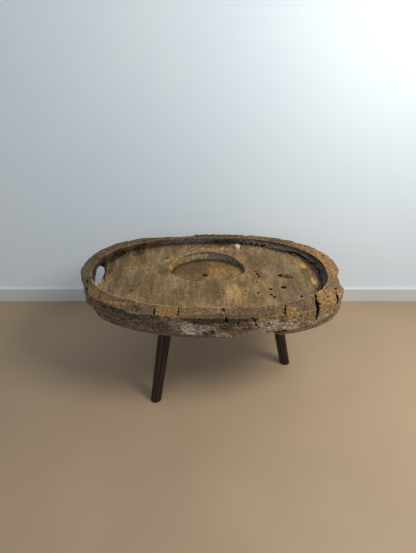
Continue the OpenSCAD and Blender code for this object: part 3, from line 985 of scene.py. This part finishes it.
# The recess: grey brown to the left of the old joint line, golden to the right of it.
wander = sums(wt, "MULTIPLY_ADD", weather["Blotch"], 0.012, across)
recess_tone = coated(
    wt, blend(wt, ease(wt, wander, -0.014, 0.012), (0.106, 0.061, 0.024), (0.178, 0.100, 0.033)),
    (ease(wt, across, 0.085, 0.135), 0.6, (0.300, 0.180, 0.055)),
    (grain["Fibres"], 0.8, (1.6, 1.6, 1.6), TIMES),
    (weather["Mottle"], 0.5, (0.6, 0.55, 0.48), TIMES))
recess_wall_tone = coated(
    wt, blend(wt, ease(wt, across, -0.13, -0.07), (0.300, 0.165, 0.045), (0.270, 0.215, 0.125)),
    (ease(wt, across, -0.010, -0.006), 1.0, (0.150, 0.122, 0.102)),
    (fine["Specks"], 0.6, (0.34, 0.30, 0.24)), (fine["Mottle"], 0.8, (0.45, 0.42, 0.4), TIMES))

# The inner wall: golden brown at the left end, sooty grey along the back and right.
leftward = ease(wt, across, -0.28, -0.10)
dirt = blend(wt, leftward, (0.018, 0.011, 0.005), (0.018, 0.015, 0.013))
dust = blend(wt, leftward, (0.142, 0.080, 0.018), (0.260, 0.237, 0.208))
wall_tone = coated(
    wt, blend(wt, leftward, (0.074, 0.036, 0.007), (0.128, 0.113, 0.102)),
    (ease(wt, across, 0.12, 0.30), 0.6, (0.165, 0.140, 0.118)),
    (fine["Mottle"], 0.75, dirt), (grain["Bands"], 0.4, dirt), (fine["Specks"], 0.9, dust))

# The rim: mottled grey brown, golden where it has been rubbed, with painted light on its right
# end.
rim_tone = coated(
    wt, blend(wt, weather["Blotch"], (0.110, 0.070, 0.034), (0.165, 0.104, 0.046)),
    (ease(wt, across, -0.50, -0.43, 1.0, 0.0), 0.6, (0.112, 0.084, 0.050)),
    # Painted light: the right end of the rim is made brighter.
    (ease(wt, across, 0.33, 0.48), 1.0, (1.75, 1.70, 1.60), TIMES),
    ("rim_gold", 0.8, (0.300, 0.166, 0.050)), (fine["Specks"], 0.35, (0.34, 0.26, 0.15)),
    (fine["Mottle"], 0.7, (0.40, 0.36, 0.33), TIMES),
    (grain["Fibres"], 0.5, (1.5, 1.42, 1.3), TIMES),
    (weather["Pits"], 0.5, (0.024, 0.016, 0.010)), ("rim_dark", 0.8, (0.040, 0.028, 0.019)))

# The sides: dark purple brown at the left, rough and mottled grey and ochre to the right.
bare = sums(wt, "MULTIPLY", mask(wt, "side_pale"), ease(wt, fine["Mottle"], 0.0, 1.0, 0.95, 0.25))
side_tone = coated(
    wt, blend(wt, ease(wt, across, -0.30, 0.28), (0.185, 0.128, 0.097), (0.245, 0.168, 0.088)),
    ("side_gold", 0.8, (0.34, 0.205, 0.068)),
    (weather["Mottle"], 0.75, (0.36, 0.33, 0.32), TIMES),
    (fine["Specks"], 0.6, (0.36, 0.32, 0.265)), (fine["Pits"], 0.75, (0.022, 0.015, 0.011)),
    (bare, 1.0, (0.54, 0.485, 0.395)), ("side_dark", 0.85, (0.022, 0.015, 0.010)))
under_tone = blend(wt, weather["Blotch"], (0.090, 0.062, 0.038), (0.130, 0.090, 0.055))

# Every zone together, then rubbed wood, grit, worn edges and lip with painted highlight, dirty
# corners with painted shade, and the black of the cuts, partly painted shade.
tone = coated(
    wt, floor_tone, ("recess_floor", 1.0, recess_tone), ("recess_wall", 1.0, recess_wall_tone),
    ("wall", 1.0, wall_tone), ("rim", 1.0, rim_tone), ("side", 1.0, side_tone),
    ("under", 1.0, under_tone), ("amber", 0.9, (0.56, 0.345, 0.115)),
    # The lip coat is chipped bare wood with a painted highlight.
    ("lip", 0.75, (0.50, 0.375, 0.195)))
grit = put(wt, "TexNoise", Vector=place, Scale=150.0, Detail=4.0, Roughness=0.7).outputs["Fac"]
gritty = blend(wt, ease(wt, grit, 0.36, 0.64), blend(wt, 1.0, tone, (0.50, 0.48, 0.46), TIMES),
               blend(wt, 1.0, tone, (1.60, 1.57, 1.52), TIMES))
coarse = sums(wt, "ADD", sums(wt, "MULTIPLY", mask(wt, "rim"), 0.15),
              sums(wt, "ADD", mask(wt, "side"), mask(wt, "wall")))
tone = coated(
    wt, tone, (ease(wt, coarse, 0.0, 1.0, 0.45, 1.0), 1.0, gritty),
    # The edge coat is rubbed wear with a painted highlight on convex edges.
    (fine["Specks"], 0.35, (0.45, 0.42, 0.40), TIMES), ("edge", 0.5, (1.8, 1.65, 1.45), TIMES),
    # The nook and nook_wide coats are dirt with painted shade in hollows and along the feet of the
    # walls.
    ("nook", 0.65, (0.32, 0.29, 0.27), TIMES), ("nook_wide", 0.8, (0.22, 0.19, 0.17), TIMES),
    # The cut coat paints cracks, pits, holes, the slot's rotted border and the soot near black:
    # dirt and rot with painted shade.
    ("cut", 1.0, (0.009, 0.007, 0.0055)))
wt.links.new(tone, wood_shader.inputs["Base Color"])
wt.links.new(ease(wt, weather["Mottle"], 0.0, 1.0, 0.72, 0.88), wood_shader.inputs["Roughness"])
wood_shader.inputs["Specular IOR Level"].default_value = 0.3
surface = sums(wt, "MULTIPLY_ADD", weather["Height"], 0.8, grain["Height"])
bump = put(wt, "Bump", Strength=0.55, Distance=0.0022, Height=surface)
wt.links.new(bump.outputs[0], wood_shader.inputs["Normal"])

bowl.data.materials.clear()
bowl.data.materials.append(old_wood)
bowl.data.polygons.foreach_set("use_smooth", [True] * len(bowl.data.polygons))
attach(bowl, "root")
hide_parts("bowl")

# ---- The legs ------------------------------------------------------------------------------
# Three splayed legs, shaved round with a drawknife and stained nearly black. Each is tenoned
# into the underside of the bowl, with its shoulder cut to the slab and its sole cut level.

LEGS = ("leg_front_left", "leg_rear_left", "leg_right")
SPLAY = math.radians(13)
RING = 0.010                           # distance between the rings of points up a leg
FACETS = 11                            # shaved flats round a leg
SHAVED = 0.0016                        # deepest shaving
TENON_R = 0.0195
LEG_LONG = 0.47


def worked_wood(name, stretch, wear, tones, coats, roughness, lift):
    """A cut wood: two tones in bands along the grain, coats by pattern, and fine fibres."""
    finish, tree, shader = new_finish(name)
    at = put(tree, "TexCoord").outputs["Object"]
    grain = grouped(tree, GRAIN, Place=at, Stretch=stretch)
    worn = grouped(tree, WEATHER, Place=at, Size=wear)
    patterns = {"Fibres": grain["Fibres"], "Mottle": worn["Mottle"], "Specks": worn["Specks"]}
    tone = coated(tree, blend(tree, grain["Bands"], *tones),
                  *((patterns.get(what, what), *rest) for what, *rest in coats))
    tree.links.new(tone, shader.inputs["Base Color"])
    tree.links.new(ease(tree, grain["Fibres"], 0.0, 1.0, *roughness),
                   shader.inputs["Roughness"])
    strength, distance, source = lift
    bump = put(tree, "Bump", Strength=strength, Distance=distance,
               Height=(grain if source == "grain" else worn)["Height"])
    tree.links.new(bump.outputs[0], shader.inputs["Normal"])
    return finish, shader


# The dark wood's edge coat lightens the ridges between the flats: worn stain with a painted
# highlight.
dark_wood, dark_shader = worked_wood(
    "dark_wood", (1.6, 1.6, 0.12), 0.6, ((0.0060, 0.0032, 0.0019), (0.0145, 0.0072, 0.0040)),
    (("Fibres", 0.5, (0.006, 0.004, 0.003)), ("edge", 0.5, (0.085, 0.050, 0.030)),
     ("Specks", 0.4, (0.095, 0.070, 0.050))), (0.34, 0.55), (0.4, 0.0012, "grain"))
dark_shader.inputs["Specular IOR Level"].default_value = 0.35


def shaved_leg(node, name, seed):
    """The CAD leg cut into rings, with drawknife flats worked round its shaft."""
    leg = merged_copy(node, name)
    q = mesh_points(leg.data)
    sole = q[q[:, 2] < 0.001]
    foot = Vector((sole[:, 0].mean(), sole[:, 1].mean(), 0))
    inward = -Vector((foot.x, foot.y, 0)).normalized()
    axis = (inward * math.sin(SPLAY) + UP * math.cos(SPLAY)).normalized()
    work = bmesh.new()
    work.from_mesh(leg.data)
    for k in range(1, int(LEG_LONG / RING)):
        bmesh.ops.bisect_plane(work, geom=work.verts[:] + work.edges[:] + work.faces[:],
                               dist=1e-7, plane_co=foot + axis * RING * k, plane_no=axis)
    bmesh.ops.triangulate(work, faces=work.faces)
    work.to_mesh(leg.data)
    work.free()
    q = mesh_points(leg.data)
    rel = q - np.array(foot)
    t = rel @ np.array(axis)
    out = rel - t[:, None] * np.array(axis)
    r = np.linalg.norm(out, axis=1)
    side_way = np.array(axis.cross(inward))
    front_way = np.cross(side_way, np.array(axis))
    turn = np.arctan2(out @ side_way, out @ front_way)
    shaft = rise(r, TENON_R + 0.001, TENON_R + 0.002)
    below = rise(UNDERSIDE - 0.001 - q[:, 2], 0.0, 0.014)
    above = rise(q[:, 2], 0.0, 0.004)
    chance = np.random.default_rng(seed)
    flats = np.zeros(len(q))
    for k in range(FACETS):
        centre = 2 * math.pi * (k + chance.uniform(-0.25, 0.25)) / FACETS
        wobble = 0.10 * np.sin(t * chance.uniform(9, 22) + chance.uniform(0, 6))
        off = np.abs((turn - centre - wobble + math.pi) % (2 * math.pi) - math.pi)
        flats = np.maximum(flats, fall(off, 0.0, math.pi / FACETS))
    loss = SHAVED * flats + 0.0007 * (1 + layered(q, (0.02, 0.02, 0.09), seed, 3))
    loss *= shaft * below * (0.35 + 0.65 * above)
    q = q - out / np.maximum(r, 1e-6)[:, None] * loss[:, None]
    q[:, 2] = np.maximum(q[:, 2], 0.0)
    set_points(leg.data, q)
    links = edge_pairs(leg.data)
    normals = mesh_normals(leg.data)
    bulge = ((q - averaged(q, links, 1, 1.0)) * normals).sum(axis=1)
    # The ridges between the flats are marked to be painted lighter: worn stain with a painted
    # highlight.
    ridge = (1 - flats) * shaft * below
    lay_mask(leg.data, "edge", rise(ridge, 0.55, 0.95) * rise(bulge, -1, 0.0001))
    leg.data.materials.append(dark_wood)
    leg.data.polygons.foreach_set("use_smooth", [True] * len(leg.data.polygons))
    leg.data.set_sharp_from_angle(angle=math.radians(40))
    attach(leg, "root")
    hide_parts(node)
    return leg


for k, node in enumerate(LEGS):
    shaved_leg(node, "shaved_" + node, 31 + k)

# ---- The wedges ----------------------------------------------------------------------------
# A thin riven wedge stands in the saw cut of each tenon and spreads it in its blind socket.
# They are split from a paler, harder wood and stay hidden inside the bowl.

wedge_wood, _ = worked_wood(
    "wedge_wood", (2.0, 2.0, 0.2), 0.3, ((0.22, 0.135, 0.065), (0.32, 0.205, 0.105)),
    (("Mottle", 0.4, (0.12, 0.07, 0.035)),), (0.6, 0.8), (0.4, 0.0008, "grain"))
for node in ("wedge_front_left", "wedge_rear_left", "wedge_right"):
    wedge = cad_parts[node]
    wedge.data.materials.clear()
    wedge.data.materials.append(wedge_wood)

# ---- The pale plug -------------------------------------------------------------------------
# A plug whittled from pale wood, driven into an old hole in the floor near the back. Its top
# is cut by knife into a blunt six-sided end, and it stands a little proud of the floor.

PLUG_SIDES = 6
PLUG_RINGS = ((0.0, 0.97, 0.3), (0.72, 0.985, 0.3), (0.97, 0.76, 0.3))    # up, width, twist


def whittled_plug():
    """A six-sided stub with knife facets round its top and a slanting end."""
    low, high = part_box("pale_plug")
    middle = Vector(((low.x + high.x) / 2, (low.y + high.y) / 2, low.z))
    radius = min(high.x - low.x, high.y - low.y) / 2
    tall = high.z - low.z
    chance = np.random.default_rng(4)
    work = bmesh.new()
    rows = []
    for up, wide, twist in PLUG_RINGS:
        row = []
        for k in range(PLUG_SIDES):
            a = 2 * math.pi * (k + twist) / PLUG_SIDES
            r = radius * wide * (chance.uniform(0.88, 1.0) if up > 0.6 else 1.0)
            lift = tall * up + (chance.uniform(-0.0012, 0.0008) if up > 0.6 else 0.0)
            row.append(work.verts.new(middle + Vector((r * math.cos(a), r * math.sin(a),
                                                       lift))))
        rows.append(row)
    for a, b in zip(rows, rows[1:]):
        for k in range(PLUG_SIDES):
            n = (k + 1) % PLUG_SIDES
            work.faces.new((a[k], a[n], b[k]))
            work.faces.new((a[n], b[n], b[k]))
    work.faces.new(rows[0][::-1])
    tip = work.verts.new(middle + Vector((0.003, -0.002, tall - 0.0003)))
    for k in range(PLUG_SIDES):
        work.faces.new((rows[-1][k], rows[-1][(k + 1) % PLUG_SIDES], tip))
    mesh = bpy.data.meshes.new("whittled_plug")
    work.to_mesh(mesh)
    work.free()
    pale_wood, _ = worked_wood(
        "pale_wood", (2.0, 2.0, 0.4), 0.25, ((0.58, 0.50, 0.34), (0.72, 0.65, 0.48)),
        (("Mottle", 0.35, (0.34, 0.28, 0.18)), ("Specks", 0.3, (0.18, 0.13, 0.08))),
        (0.55, 0.75), (0.35, 0.0008, "worn"))
    mesh.materials.append(pale_wood)
    plug = shown("whittled_plug", mesh)
    step = plug.modifiers.new("soften", "BEVEL")
    step.width = 0.0004
    step.segments = 1
    step.limit_method = "ANGLE"
    step.angle_limit = math.radians(8)
    return bake_down(plug)


plug = whittled_plug()
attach(plug, "root")
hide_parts("pale_plug")
